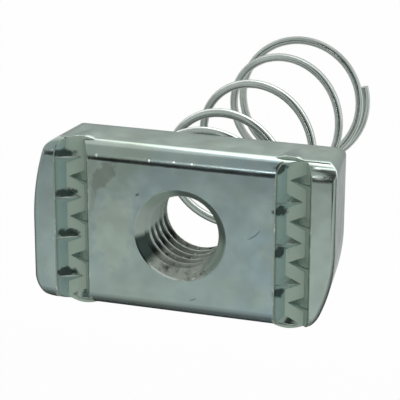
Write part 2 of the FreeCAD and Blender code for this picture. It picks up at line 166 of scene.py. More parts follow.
class SpringSettings(PropertyGroup):
    """Sizes and finish of the spring"""

    wire_radius: length("Wire Radius", "Radius of the spring's wire", 0.55 * MM, 0.1 * MM)
    base_coil_radius: length(
        "Base Coil Radius", "Radius of the coils at the nut, to the wire's centre",
        8.4 * MM, MM)
    foot_coil_radius: length(
        "Foot Coil Radius", "Radius of the last coil, to the wire's centre", 9.28 * MM, MM)
    turns: FloatProperty(
        name="Turns", description="Turns of wire from the nut to the foot",
        default=6.12, min=1.0)
    foot_angle: FloatProperty(
        name="Foot Angle", description="Direction in which the wire ends at the foot",
        default=math.radians(16.3), subtype="ANGLE")
    coil_offset: FloatVectorProperty(
        name="Coil Offset", description="How far the free coils stand off the thread axis",
        default=(-0.67 * MM, 0.4 * MM), size=2, precision=5, unit="LENGTH")
    coil_gap: length("Coil Gap", "Gap between two coils that are wound close", 0.25 * MM)
    coil_clearance: length(
        "Coil Clearance", "Gap between the first coil and the nut's back", 0.05 * MM)
    wire_steps: IntProperty(
        name="Wire Steps", description="Rings of vertices in each turn of wire",
        default=60, min=12)
    wire_sides: IntProperty(
        name="Wire Sides", description="Sides of the wire's section", default=20, min=6)
    wire_zinc: colour("Wire Zinc", "Plating on the spring's wire", (0.520, 0.560, 0.535))


class StageSettings(PropertyGroup):
    """Camera, floor and light"""

    camera_place: FloatVectorProperty(
        name="Camera Place", description="Where the camera stands",
        default=(0.0601, 0.0708, 0.2391), size=3, subtype="TRANSLATION")
    camera_turn: FloatVectorProperty(
        name="Camera Turn", description="How the camera is turned",
        default=tuple(math.radians(angle) for angle in (-19.17, 17.76, 0.19)),
        size=3, subtype="EULER")
    camera_lens: FloatProperty(
        name="Camera Lens", description="Focal length in millimetres, on a 36 mm sensor",
        default=160.9, min=1.0)
    floor_radius: FloatProperty(
        name="Floor Radius", description="Radius of the round studio floor",
        default=6.0, min=0.1, unit="LENGTH")
    ceiling: FloatProperty(
        name="Ceiling", description="Brightness of the studio's ceiling",
        default=0.85, min=0.0)
    front: FloatProperty(
        name="Front", description="Brightness of the studio low down in front of the nut",
        default=0.19, min=0.0)


# ------------------------------------------------------------ node helpers

def fill_inputs(tree, node, inputs):
    """Set a node's inputs to values or join them to sockets, by their names or numbers."""
    for key, value in dict(inputs).items():
        if isinstance(value, bpy.types.NodeSocket):
            tree.links.new(value, node.inputs[key])
        else:
            node.inputs[key].default_value = value


def add_node(tree, kind, inputs=(), **settings):
    """A node with its settings made and its inputs filled."""
    node = tree.nodes.new(kind)
    for name, value in settings.items():
        setattr(node, name, value)
    fill_inputs(tree, node, inputs)
    return node


def compute(tree, operation, *values):
    """The result of one math node."""
    return add_node(tree, "ShaderNodeMath", enumerate(values), operation=operation).outputs[0]


def compute_vector(tree, operation, *values):
    """The result of one vector math node, which is a number for a length or a dot product."""
    outputs = add_node(tree, "ShaderNodeVectorMath", enumerate(values),
                       operation=operation).outputs
    return outputs["Value" if operation in ("LENGTH", "DOT_PRODUCT") else "Vector"]


def ramp(tree, value, low, high, at_low=0.0, at_high=1.0, kind="LINEAR"):
    """What a value gives on a ramp between two ends, past which it stays level."""
    return add_node(tree, "ShaderNodeMapRange", {
        "Value": value, "From Min": low, "From Max": high, "To Min": at_low,
        "To Max": at_high}, interpolation_type=kind).outputs["Result"]


def split(tree, vector):
    """The three coordinates of a vector, by their names."""
    return add_node(tree, "ShaderNodeSeparateXYZ", {0: vector}).outputs


def join(tree, x, y, z):
    """A vector from its three coordinates."""
    return add_node(tree, "ShaderNodeCombineXYZ", {"X": x, "Y": y, "Z": z}).outputs[0]


def distance_from_axis(tree, place):
    """How far a place is from the thread's axis."""
    return compute_vector(tree, "LENGTH", compute_vector(
        tree, "MULTIPLY", place, (1.0, 1.0, 0.0)))


def around_axis(tree, radius, angle, height, x=0.0, y=0.0):
    """A place at a radius, an angle and a height, about an axis at x and y."""
    return join(tree, compute(tree, "MULTIPLY_ADD", radius, compute(tree, "COSINE", angle), x),
                compute(tree, "MULTIPLY_ADD", radius, compute(tree, "SINE", angle), y), height)


def coordinates(tree, kind="Object"):
    """The texture coordinates of a shader tree."""
    return add_node(tree, "ShaderNodeTexCoord").outputs[kind]


def add_input(tree, name, kind):
    """A named input of a node group."""
    tree.interface.new_socket(name, in_out="INPUT", socket_type=kind)


def make(tree, kind, inputs=(), **settings):
    """The first output of a node in a Geometry Nodes tree."""
    return add_node(tree, "GeometryNode" + kind, inputs, **settings).outputs[0]


def geometry_tree(name, inputs):
    """A Geometry Nodes tree with a geometry input and output, and its other inputs by type."""
    tree = bpy.data.node_groups.new(name, "GeometryNodeTree")
    add_input(tree, "Geometry", "NodeSocketGeometry")
    for kind, labels in inputs.items():
        for label in labels:
            add_input(tree, label, kind)
    tree.interface.new_socket("Geometry", in_out="OUTPUT", socket_type="NodeSocketGeometry")
    return tree, add_node(tree, "NodeGroupInput").outputs


def run_tree(piece, tree, values):
    """Run a Geometry Nodes tree on a piece and keep what it makes as the piece's plain mesh."""
    modifier = piece.modifiers.new(tree.name, "NODES")
    modifier.node_group = tree
    sockets = {item.name: item.identifier for item in tree.interface.items_tree
               if item.in_out == "INPUT"}
    for name, value in values.items():
        modifier[sockets[name]] = value
    bake_modifiers(piece)


def bake_modifiers(piece):
    """Turn a piece and its modifiers into a plain mesh."""
    evaluated = piece.evaluated_get(bpy.context.evaluated_depsgraph_get())
    mesh = bpy.data.meshes.new_from_object(evaluated)
    piece.modifiers.clear()
    piece.data = mesh
    mesh.name = piece.name


def link_piece(name, data):
    """A new object of the scene that holds a mesh, a lamp or a camera."""
    piece = bpy.data.objects.new(name, data)
    bpy.context.scene.collection.objects.link(piece)
    return piece


# --------------------------------------------------------------- materials

def new_material(name):
    """A material, its node tree and its Principled shader."""
    material = bpy.data.materials.new(name)
    material.use_nodes = True
    return material, material.node_tree, material.node_tree.nodes["Principled BSDF"]


def place_group(tree, name, build, values):
    """The outputs of a shader node group placed with its values.

    The group is built when it is first placed, by a function that gets the group and its
    inputs and returns what it puts out. Each input is of its value's kind.
    """
    group = bpy.data.node_groups.get(name)
    if not group:
        group = bpy.data.node_groups.new(name, "ShaderNodeTree")
        for label, value in values.items():
            add_input(group, label, "NodeSocketFloat" if isinstance(value, float)
                      else "NodeSocketVector")
        made = build(group, add_node(group, "NodeGroupInput").outputs)
        for label, socket in made.items():
            group.interface.new_socket(
                label, in_out="OUTPUT", socket_type="NodeSocketVector"
                if socket.type == "VECTOR" else "NodeSocketFloat")
        add_node(group, "NodeGroupOutput", made)
    return add_node(tree, "ShaderNodeGroup", values, node_tree=group).outputs


def build_cloudy_mask(group, given):
    """Soft cloudy patches, used to tint plating and to vary its gloss."""
    noise = add_node(group, "ShaderNodeTexNoise", {
        "Vector": coordinates(group), "W": given["Seed"], "Scale": given["Scale"],
        "Detail": 3.0, "Roughness": 0.5}, noise_dimensions="4D").outputs["Fac"]
    return {"Mask": ramp(group, noise, given["Low"], given["High"], kind="SMOOTHSTEP")}


def cloudy_mask(tree, scale, seed, low, high):
    """A mask of cloudy patches with its own scale and seed."""
    return place_group(tree, "cloudy_mask", build_cloudy_mask, {
        "Scale": scale, "Seed": seed, "Low": low, "High": high})["Mask"]


def build_relief(group, given):
    """The normal of a metal surface with slow waves and fine grain pressed into it."""
    place = coordinates(group)
    waves = add_node(group, "ShaderNodeTexNoise", {
        "Vector": place, "Scale": given["Wave Scale"], "Detail": 2.0})
    grain = add_node(group, "ShaderNodeTexNoise", {
        "Vector": place, "Scale": given["Grain Scale"], "Detail": 3.0})
    wave_bump = add_node(group, "ShaderNodeBump", {
        "Distance": given["Wave Height"], "Height": waves.outputs["Fac"]})
    grain_bump = add_node(group, "ShaderNodeBump", {
        "Distance": given["Grain Height"], "Height": grain.outputs["Fac"],
        "Normal": wave_bump.outputs["Normal"]})
    return {"Normal": grain_bump.outputs["Normal"]}


def relief(tree, wave_scale, wave_height, grain_scale, grain_height):
    """The normal of a metal surface's relief, with its own scales and heights."""
    return place_group(tree, "surface_relief", build_relief, {
        "Wave Scale": wave_scale, "Wave Height": wave_height, "Grain Scale": grain_scale,
        "Grain Height": grain_height})["Normal"]


def layer_colours(tree, base, layers):
    """A base colour with layers over it, each a mask and a colour."""
    for mask, colour_over in layers:
        under = base if isinstance(base, bpy.types.NodeSocket) else (*base, 1.0)
        base = add_node(tree, "ShaderNodeMix", {0: mask, 6: under, 7: (*colour_over, 1.0)},
                        data_type="RGBA").outputs[2]
    return base


def build_mark(group, given):
    """A ragged, bent, oval mark, repeated along Y."""
    place = coordinates(group)
    half = compute(group, "MULTIPLY", given["Repeat"], 0.5)
    away = split(group, compute_vector(group, "SUBTRACT", place, given["Place"]))
    nearest = compute(group, "WRAP", away["Y"], half, compute(group, "MULTIPLY", half, -1.0))
    turned = add_node(group, "ShaderNodeVectorRotate", {
        "Vector": join(group, away["X"], nearest, away["Z"]),
        "Angle": compute(group, "MULTIPLY", given["Turn"], -1.0)}, rotation_type="Z_AXIS")
    along = split(group, compute_vector(
        group, "DIVIDE", turned.outputs["Vector"], given["Reach"]))
    bowed = compute(group, "MULTIPLY", compute(
        group, "MULTIPLY", along["X"], along["X"]), given["Bend"])
    out = compute_vector(group, "LENGTH", join(
        group, along["X"], compute(group, "SUBTRACT", along["Y"], bowed), along["Z"]))
    noise = add_node(group, "ShaderNodeTexNoise", {
        "Vector": place, "Scale": MARK_GRAIN, "Detail": 3.0}).outputs["Fac"]
    ragged = compute(group, "MULTIPLY_ADD", compute(
        group, "SUBTRACT", noise, 0.5), given["Raggedness"], out)
    return {"Mask": ramp(group, ragged, *MARK_EDGE, 1.0, 0.0, kind="SMOOTHSTEP")}


# Marks on the plating, in millimetres from the middle of the clamping face and in degrees.
# The film, stains, speck, scratch and scuff are the plating's own; the dark lines by the pad's
# top edge, the dark patches by the teeth, the bright lines on the left teeth and the glints are
# painted shade and painted highlights.
MARKS = {
    "pale_film": {"place": (-8.0, -0.4, 0.0), "reach": (2.6, 5.0, 0.3), "turn": -8.0,
                  "raggedness": 1.3, "shade": (0.445, 0.510, 0.430), "share": 0.55},
    "stain": {"place": (-9.2, 6.2, 0.0), "reach": (2.3, 1.15, 0.3), "turn": 58.0,
              "raggedness": 1.2, "shade": (0.235, 0.280, 0.240), "share": 0.8},
    "stain_arm": {"place": (-10.5, 3.4, 0.0), "reach": (2.3, 0.4, 0.3), "turn": 80.0,
                  "raggedness": 1.0, "shade": (0.270, 0.320, 0.270), "share": 0.5},
    "speck": {"place": (-5.1, 4.4, 0.0), "reach": (0.30, 0.16, 0.3), "turn": 35.0,
              "shade": (0.110, 0.140, 0.120), "share": 0.8},
    "scratch": {"place": (8.83, 1.0, 0.0), "reach": (1.15, 0.085, 0.3), "turn": 41.0,
                "bend": 2.6, "shade": (0.120, 0.150, 0.140), "share": 0.75},
    "scuff": {"place": (1.6, -7.6, 0.0), "reach": (0.5, 0.10, 0.3), "turn": 20.0,
              "shade": (0.150, 0.170, 0.160), "share": 0.6},
    # painted shade: dark, mottled lines along the top edge of the pad
    "left_edge_shade": {"place": (-4.4, 8.22, 0.0), "reach": (6.2, 0.24, 0.3),
                  "raggedness": 1.6, "shade": (0.110, 0.135, 0.120), "share": 0.6},
    "right_edge_shade": {"place": (4.4, 8.12, 0.0), "reach": (6.2, 0.15, 0.3),
                   "raggedness": 1.6, "shade": (0.150, 0.130, 0.135), "share": 0.5},
    "left_shadows": {"place": (-14.0, 8.2, -0.7), "reach": (1.5, 0.58, 1.2),
                     "raggedness": 1.4, "repeat": TOOTH_PITCH, "shade": (0.030, 0.045, 0.040),
                     "share": 0.9},
    # painted highlights: bright lines along the left teeth, under their painted shadows
    "left_edge_highlights": {"place": (-13.9, 7.72, -0.5), "reach": (1.7, 0.11, 1.4),
                   "raggedness": 0.7, "repeat": TOOTH_PITCH, "shade": (0.900, 0.950, 0.920),
                   "share": 0.9},
    # painted shadows in the hollows beside the right teeth
    "right_hollow_shadows": {"place": (11.65, 4.05, -0.6), "reach": (0.85, 0.72, 1.0),
                      "raggedness": 1.9, "repeat": TOOTH_PITCH, "shade": (0.030, 0.048, 0.045),
                      "share": 0.9},
    "right_glints": {"place": (15.2, 6.0, -0.1), "reach": (0.16, 0.12, 0.5),
                     "repeat": TOOTH_PITCH, "shade": (0.950, 1.000, 0.970)},
    "glint_a": {"place": (-3.67, 8.60, 0.0), "reach": (0.17, 0.20, 1.0),
                "shade": (1.0, 1.0, 1.0)},
    "glint_b": {"place": (-0.73, 8.72, 0.0), "reach": (0.15, 0.12, 1.0),
                "shade": (0.9, 0.9, 0.9)},
    "glint_c": {"place": (1.39, 8.70, 0.0), "reach": (0.14, 0.11, 1.0),
                "shade": (0.9, 0.9, 0.9)},
    "glint_d": {"place": (-10.0, 8.60, 0.0), "reach": (0.15, 0.20, 1.0),
                "shade": (0.9, 0.9, 0.9)},
}


def mark_layer(tree, place, reach, shade, share=1.0, turn=0.0, bend=0.0, raggedness=0.6,
               repeat=1000.0):
    """The mask and the colour of one mark."""
    mask = place_group(tree, "mark", build_mark, {
        "Place": Vector(place) * MM + Vector((0.0, 0.0, CLAMPING_FACE)),
        "Reach": Vector(reach) * MM, "Turn": math.radians(turn), "Bend": bend,
        "Raggedness": raggedness, "Repeat": repeat * MM})["Mask"]
    return compute(tree, "MULTIPLY", mask, share), shade


def build_groove_mask(group, given):
    """The grooves of the clamping face, but not the facets there that face along +Y.

    The second output is how far a surface leans along +X.
    """
    place = split(group, coordinates(group))
    off_centre = compute(group, "ABSOLUTE", compute(group, "SUBTRACT", compute(
        group, "ABSOLUTE", place["X"]), given["Groove Centre"]))
    within = compute(group, "LESS_THAN", off_centre, given["Half Width"])
    depth = compute(group, "SUBTRACT", given["Face Height"], place["Z"])
    sunk = ramp(group, depth, *GROOVE_SINK)
    shallow = compute(group, "LESS_THAN", depth, given["Depth"])
    faces = split(group, coordinates(group, "Normal"))
    level = ramp(group, faces["Y"], *GROOVE_LEAN, 1.0, 0.0)
    mask = compute(group, "MULTIPLY", compute(group, "MULTIPLY", within, level),
                   compute(group, "MULTIPLY", sunk, shallow))
    return {"Mask": mask, "Lean": faces["X"]}


def plating_material(settings):
    """Bright zinc on the nut: cloudy tints, a few marks, painted shade and highlights in the
    grooves and along edges, and slightly uneven gloss.
    """
    material, tree, shader = new_material("nut_plating")
    place = split(tree, coordinates(tree))
    across = place["X"]
    in_front = compute(tree, "GREATER_THAN", place["Z"], CLAMPING_FACE - FRONT_DEPTH)
    on_left = compute(tree, "MULTIPLY", in_front, compute(
        tree, "LESS_THAN", across, -FLANGE_START))
    on_right = compute(tree, "MULTIPLY", in_front, compute(
        tree, "GREATER_THAN", across, FLANGE_START))
    clouds = cloudy_mask(tree, scale=70.0, seed=1.0, low=0.42, high=0.66)
    bluer = compute(tree, "MULTIPLY_ADD", clouds, 0.35,
                    ramp(tree, across, -BLUE_REACH, BLUE_REACH, at_high=0.5))
    short_of_groove = compute(tree, "LESS_THAN", across, PAD_END)
    blue = compute(tree, "MAXIMUM", compute(tree, "MULTIPLY", bluer, compute(
        tree, "MULTIPLY", in_front, short_of_groove)), compute(
        tree, "MULTIPLY", on_left, 0.3))
    olive = compute(tree, "MULTIPLY", cloudy_mask(
        tree, scale=130.0, seed=5.0, low=0.5, high=0.68), 0.4)
    # paler all over the right flange's face, and in clouds elsewhere
    pale = compute(tree, "MAXIMUM", on_right, compute(tree, "MULTIPLY", cloudy_mask(
        tree, scale=260.0, seed=12.0, low=0.45, high=0.7), 0.5))
    # the grooves' tint is partly their plating's own and partly painted light, kept off the
    # facets that face +Y
    grooves = place_group(tree, "groove_mask", build_groove_mask, {
        "Face Height": CLAMPING_FACE, "Groove Centre": GROOVE_CENTRE,
        "Half Width": GROOVE_HALF_WIDTH, "Depth": GROOVE_DEPTH})
    # painted shade: a darker teal on the groove walls that lean along +X
    teal_shade = compute(tree, "MULTIPLY", grooves["Mask"], ramp(tree, grooves["Lean"], 0.3, 0.6))
    tints = [(blue, settings.zinc_blue), (olive, settings.zinc_olive),
             (pale, settings.pale_zinc_and_sheen), (grooves["Mask"], settings.groove_olive),
             (teal_shade, settings.groove_teal_shade)]
    marks = [mark_layer(tree, **mark) for mark in MARKS.values()]
    smears = cloudy_mask(tree, scale=400.0, seed=9.0, low=0.3, high=0.7)
    fill_inputs(tree, shader, {
        "Base Color": layer_colours(tree, settings.zinc, tints + marks),
        "Roughness": ramp(tree, smears, 0.0, 1.0, 0.17, 0.25),
        "Metallic": compute(tree, "MULTIPLY_ADD", grooves["Mask"],
                            -settings.groove_mattness, 1.0),
        "Specular Tint": DULL_SHEEN,
        "Normal": relief(tree, wave_scale=260.0, wave_height=18e-6, grain_scale=5000.0,
                         grain_height=0.2e-6)})
    return material


def edge_wear_and_sheen_material(settings):
    """Plating rubbed bright on edges, partly wear and partly a painted highlight along them."""
    material, tree, shader = new_material("worn_edges_and_sheen")
    patches = cloudy_mask(tree, scale=900.0, seed=15.0, low=0.52, high=0.78)
    fill_inputs(tree, shader, {
        "Base Color": layer_colours(tree, settings.zinc, [(patches, settings.worn_zinc_and_sheen)]),
        "Metallic": 1.0, "Roughness": 0.3, "Specular Tint": (0.6, 0.62, 0.6, 1.0)})
    return material


def build_side_mask(group, given):
    """One side of a round part about Z, with soft ends, and the distance from Z."""
    place = coordinates(group)
    outward = compute_vector(group, "NORMALIZE", compute_vector(
        group, "MULTIPLY", place, (1.0, 1.0, 0.0)))
    towards = compute_vector(group, "DOT_PRODUCT", outward, given["Direction"])
    return {"Mask": ramp(group, towards, given["Low"], given["High"], kind="SMOOTHSTEP"),
            "Radius": distance_from_axis(group, place)}


def side_mask(tree, middle, spread, softness):
    """The side about a direction in degrees, as far as a spread to each side of it."""
    middle = math.radians(middle)
    return place_group(tree, "side_mask", build_side_mask, {
        "Direction": (math.cos(middle), math.sin(middle), 0.0),
        "Low": math.cos(math.radians(spread + softness)),
        "High": math.cos(math.radians(spread - softness))})


def thread_material(settings):
    """The cut thread: dark steel with bright crests on its lower left, plated elsewhere. The dark
    lower left is partly bare oiled steel and partly painted shade; the upper left gets a painted
    lighter tone, the upper right painted shade, and the sparkles and the rim a painted highlight.
    """
    material, tree, shader = new_material("thread_steel_and_shade")
    # partly bare cut steel and partly painted shade, on the thread's lower left
    bare_and_shaded = side_mask(tree, middle=246.0, spread=59.0, softness=5.0)
    brown_side = side_mask(tree, middle=267.0, spread=41.0, softness=9.0)["Mask"]
    rim_side = side_mask(tree, middle=246.0, spread=18.0, softness=8.0)["Mask"]
    # painted light: a lighter tone on the thread's upper left
    lit_left_side = side_mask(tree, middle=170.0, spread=22.0, softness=14.0)["Mask"]
    # painted shade: a darker tone on the thread's upper right
    shaded_upper_right = side_mask(tree, middle=48.0, spread=50.0, softness=12.0)["Mask"]
    crest = ramp(tree, bare_and_shaded["Radius"], BORE_RADIUS + CREST_BAND[0],
                 BORE_RADIUS + CREST_BAND[1], 1.0, 0.0)
    # bright crests, partly worn bare metal and partly a painted highlight
    worn = compute(tree, "MULTIPLY", crest, compute(
        tree, "MULTIPLY_ADD", bare_and_shaded["Mask"], 0.75, 0.15))
    at_rim = compute(tree, "GREATER_THAN", bare_and_shaded["Radius"],
                     settings.front_mouth_radius - RIM_BAND)
    # painted highlights: sparkles in the stained part and a bright rim on the lower side
    sparkle = compute(tree, "MULTIPLY", brown_side, cloudy_mask(
        tree, scale=2600.0, seed=8.0, low=0.6, high=0.68))
    rim_and_sparkle_glints = compute(tree, "MAXIMUM", sparkle, compute(tree, "MULTIPLY", rim_side, at_rim))
    stains = compute(tree, "MULTIPLY", brown_side, cloudy_mask(
        tree, scale=1300.0, seed=3.0, low=0.2, high=0.56))
    layers = [(lit_left_side, settings.pale_zinc_and_sheen),
              (compute(tree, "MULTIPLY", shaded_upper_right, 0.7), settings.thread_steel_and_shade),
              (bare_and_shaded["Mask"], settings.thread_steel_and_shade), (stains, settings.thread_brown),
              (worn, settings.thread_crest), (rim_and_sparkle_glints, settings.worn_zinc_and_sheen)]
    matt = compute(tree, "MAXIMUM", compute(tree, "SUBTRACT", 1.0, bare_and_shaded["Mask"]), brown_side)
    fill_inputs(tree, shader, {
        "Base Color": layer_colours(tree, settings.thread_zinc, layers),
        "Metallic": compute(tree, "MULTIPLY_ADD", matt, -settings.thread_mattness, 1.0),
        "Roughness": ramp(tree, bare_and_shaded["Mask"], 0.0, 1.0, 0.42, 0.28),
        "Specular Tint": DULL_SHEEN,
        "Normal": relief(tree, wave_scale=1500.0, wave_height=8e-6, grain_scale=6000.0,
                         grain_height=0.5e-6)})
    return material


def wire_material(settings):
    """Zinc-plated spring wire."""
    material, tree, shader = new_material("spring_wire")
    dull = [0.85 * channel for channel in settings.wire_zinc]
    patches = cloudy_mask(tree, scale=250.0, seed=7.0, low=0.4, high=0.6)
    fill_inputs(tree, shader, {
        "Base Color": layer_colours(tree, settings.wire_zinc, [(patches, dull)]),
        "Metallic": 1.0, "Roughness": 0.22, "Specular Tint": (0.7, 0.72, 0.7, 1.0),
        "Normal": relief(tree, wave_scale=900.0, wave_height=3e-6, grain_scale=5000.0,
                         grain_height=0.4e-6)})
    return material


# ---------------------------------------------------------------- nut body

WELD_GAP = 0.0005 * MM                   # corners of triangles that are closer are one
FLAT_ANGLE = math.radians(0.4)           # faces that meet at less than this are one flat
LEVEL_SLOPE = 0.9999                     # the least Z in the normal of a level face
EVEN_SHARE = 0.2                         # of the rings' spacing; the rest crowds to the ends
LAST_RING = 0.4999                       # past this, the grid has only its two end rings
TUCK_OUT = 0.03 * MM                     # how far those two rings widen under the mouths
TUCK_UNDER = 0.002 * MM                  # and how far they sink there
RIM_REACH = 0.7                          # share of its rounding that a rim reaches down
SEAM_GAP = 0.001 * MM                    # ends of a ring that are closer are joined


def merged_copy(node, name):
    """A new mesh with a CAD node's shape, its loose triangles joined and its flats whole.

    Edges that stand proud and are sharp get a bevel weight, so that they can be rounded.
    """
    work = bmesh.new()
    work.from_mesh(frame["nodes"][node].data)
    bmesh.ops.remove_doubles(work, verts=work.verts, dist=WELD_GAP)
    bmesh.ops.dissolve_limit(work, angle_limit=FLAT_ANGLE, verts=work.verts, edges=work.edges)
    weights = work.edges.layers.float.new("bevel_weight_edge")
    for edge in work.edges:
        if edge.is_convex and edge.calc_face_angle(0.0) > SHARP_ANGLE:
            edge[weights] = 1.0
    mesh = bpy.data.meshes.new(name)
    work.to_mesh(mesh)
    work.free()
    mesh.materials.clear()
    return mesh


def countersink_radius(tree, depth, mouth, rounding):
    """Radius of a countersink of 45 degrees at a depth, with its rim rounded."""
    reach = compute(tree, "MULTIPLY", rounding, RIM_REACH)
    near_rim = ramp(tree, depth, 0.0, reach, 1.0, 0.0)
    flared = compute(tree, "MULTIPLY", compute(tree, "MULTIPLY", near_rim, near_rim), rounding)
    return compute(tree, "ADD", compute(tree, "SUBTRACT", mouth, depth), flared)


def threaded_hole_tree():
    """Replaces a plain hole's wall with a threaded one.

    The new wall is a grid that is wrapped into a tube. Its radius at each point is that of
    the widest tool that passed there: the tap, whose V-shaped ridge winds about the axis, or
    one of the two countersinks. Both ends tuck in just under the rounded mouths.
    """
    tree, given = geometry_tree("threaded_hole", {
        "NodeSocketFloat": ("Pitch", "Major Radius", "Bore Radius", "Root Share",
                            "Crest Share", "Top", "Bottom", "Front Mouth", "Back Mouth",
                            "Mouth Rounding"),
        "NodeSocketInt": ("Steps", "Rings"), "NodeSocketMaterial": ("Thread Material",)})
    place = make(tree, "InputPosition")
    slope = split(tree, make(tree, "InputNormal"))["Z"]
    rim = compute(tree, "ADD", given["Front Mouth"], given["Mouth Rounding"])
    inside = compute(tree, "LESS_THAN", distance_from_axis(tree, place), rim)
    steep = compute(tree, "LESS_THAN", compute(tree, "ABSOLUTE", slope), LEVEL_SLOPE)
    open_body = make(tree, "DeleteGeometry", {
        "Geometry": given["Geometry"], "Selection": compute(tree, "MULTIPLY", inside, steep)},
        domain="FACE")
    grid = make(tree, "MeshGrid", {
        "Size X": 1.0, "Size Y": 1.0, "Vertices X": given["Steps"],
        "Vertices Y": given["Rings"]})
    spread = split(tree, place)
    turn = compute(tree, "ADD", spread["X"], 0.5)
    even = compute(tree, "MULTIPLY", spread["Y"], 2 * EVEN_SHARE)
    eased = compute(tree, "MULTIPLY", compute(tree, "SINE", compute(
        tree, "MULTIPLY", spread["Y"], math.pi)), 1 - EVEN_SHARE)
    height = ramp(tree, compute(tree, "ADD", even, eased), -1.0, 1.0,
                  given["Bottom"], given["Top"])
    front = countersink_radius(tree, compute(tree, "SUBTRACT", given["Top"], height),
                               given["Front Mouth"], given["Mouth Rounding"])
    back = countersink_radius(tree, compute(tree, "SUBTRACT", height, given["Bottom"]),
                              given["Back Mouth"], given["Mouth Rounding"])
    wound = compute(tree, "FRACT", compute(
        tree, "ADD", turn, compute(tree, "DIVIDE", height, given["Pitch"])))
    from_root = compute(tree, "ABSOLUTE", compute(tree, "MULTIPLY_ADD", wound, 2.0, -1.0))
    tapped = ramp(tree, from_root, given["Root Share"], given["Crest Share"],
                  given["Major Radius"], given["Bore Radius"])
    wall = compute(tree, "MAXIMUM", tapped, compute(tree, "MAXIMUM", front, back))
    end = compute(tree, "GREATER_THAN", compute(tree, "ABSOLUTE", spread["Y"]), LAST_RING)
    tucked = compute(tree, "MULTIPLY_ADD", end, TUCK_OUT, wall)
    under = compute(tree, "MULTIPLY_ADD", compute(
        tree, "MULTIPLY", end, compute(tree, "SIGN", spread["Y"])), -TUCK_UNDER, height)
    tube = make(tree, "SetPosition", {
        "Geometry": grid,
        "Position": around_axis(tree, tucked, compute(tree, "MULTIPLY", turn, FULL_TURN), under)})
    closed = make(tree, "MergeByDistance", {"Geometry": tube, "Distance": SEAM_GAP})
    thread = make(tree, "SetMaterial", {
        "Geometry": make(tree, "FlipFaces", {"Mesh": closed}),
        "Material": given["Thread Material"]})
    both = add_node(tree, "GeometryNodeJoinGeometry")
    for part in (thread, open_body):
        tree.links.new(part, both.inputs["Geometry"])
    add_node(tree, "NodeGroupOutput", {
        "Geometry": make(tree, "RealizeInstances", {"Geometry": both.outputs["Geometry"]})})
    return tree


def round_edges(piece, width, faces, edges):
    """Round the sharp proud edges, with one material for the faces and one for the edges."""
    piece.data.materials.append(faces)
    piece.data.materials.append(edges)
    bevel = piece.modifiers.new("edges", "BEVEL")
    bevel.material = 1
    bevel.width = width
    bevel.segments = 2
    bevel.limit_method = "WEIGHT"
    bevel.use_clamp_overlap = False
    bake_modifiers(piece)


def smooth_faces(piece, angle):
    """Shade a piece smoothly, with edges sharper than the angle kept and flats kept flat."""
    piece.data.shade_smooth()
    piece.data.set_sharp_from_angle(angle=angle)
    weighted = piece.modifiers.new("normals", "WEIGHTED_NORMAL")
    weighted.keep_sharp = True
    weighted.weight = 80
    bake_modifiers(piece)


class STRUTNUT_OT_nut_body(Operator):
    """Make the plated nut body, with its thread cut and its edges rounded"""
    bl_idname = "strut_nut.nut_body"
    bl_label = "Nut Body"

    def execute(self, context):
        settings = context.scene.strut_nut_body
        piece = link_piece("plated_nut_body", merged_copy("nut_body", "plated_nut_body"))
        round_edges(piece, settings.edge_rounding, plating_material(settings),
                    edge_wear_and_sheen_material(settings))
        run_tree(piece, threaded_hole_tree(), {
            "Pitch": settings.thread_pitch, "Major Radius": settings.thread_major_radius,
            "Bore Radius": BORE_RADIUS, "Root Share": settings.thread_root_share,
            "Crest Share": settings.thread_crest_share, "Top": CLAMPING_FACE,
            "Bottom": NUT_BACK, "Front Mouth": settings.front_mouth_radius,
            "Back Mouth": settings.back_mouth_radius, "Mouth Rounding": settings.edge_rounding,
            "Steps": settings.thread_steps, "Rings": settings.thread_rings,
            "Thread Material": thread_material(settings)})
        smooth_faces(piece, SHARP_ANGLE)
        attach(piece, "root")
        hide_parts("nut_body")
        return {"FINISHED"}


# ------------------------------------------------------------------ spring

# The pitch of the wire where it is wound close, in pitches of coils that lie together, and
# the share of its open pitch. Each is given at turns from the staked end or from the foot.
CLOSE_FROM_NUT = ((0.65, 0.0), (0.83, 4.7), (1.34, 2.6), (2.59, 0.0))
CLOSE_FROM_FOOT = ((1.65, 0.0), (1.04, 3.6), (0.45, 0.0))
OPEN_FROM_NUT = ((1.34, 0.0), (2.59, 1.0))
OPEN_FROM_FOOT = ((1.65, 1.0), (1.04, 0.0))
SHIFT_FROM_NUT = (0.65, 1.65)            # turns over which the free coils move off the axis
FLARE_FROM_FOOT = 2.0                    # turns over which the foot widens


def along_wire(turns, from_nut, from_foot, highest):
    """Points of a curve along the wire, in shares of its length and of the highest value."""
    from_start = [(place / turns, value / highest) for place, value in from_nut]
    from_end = [(1 - place / turns, value / highest) for place, value in from_foot]
    return [(0.0, 0.0), *from_start, *from_end, (1.0, 0.0)]


def read_curve(tree, factor, points):
    """A value read from straight runs between points, over a factor from 0 to 1."""
    node = add_node(tree, "ShaderNodeFloatCurve", {"Value": factor})
    curve = node.mapping.curves[0]
    curve.points[0].location = points[0]
    curve.points[1].location = points[-1]
    for place in points[1:-1]:
        curve.points.new(*place)
    for point in curve.points:
        point.handle_type = "VECTOR"
    node.mapping.update()
    return node.outputs["Value"]


def sum_up(tree, value):
    """The running sum and the total of a value over a line's points."""
    return add_node(tree, "GeometryNodeAccumulateField", {"Value": value}).outputs


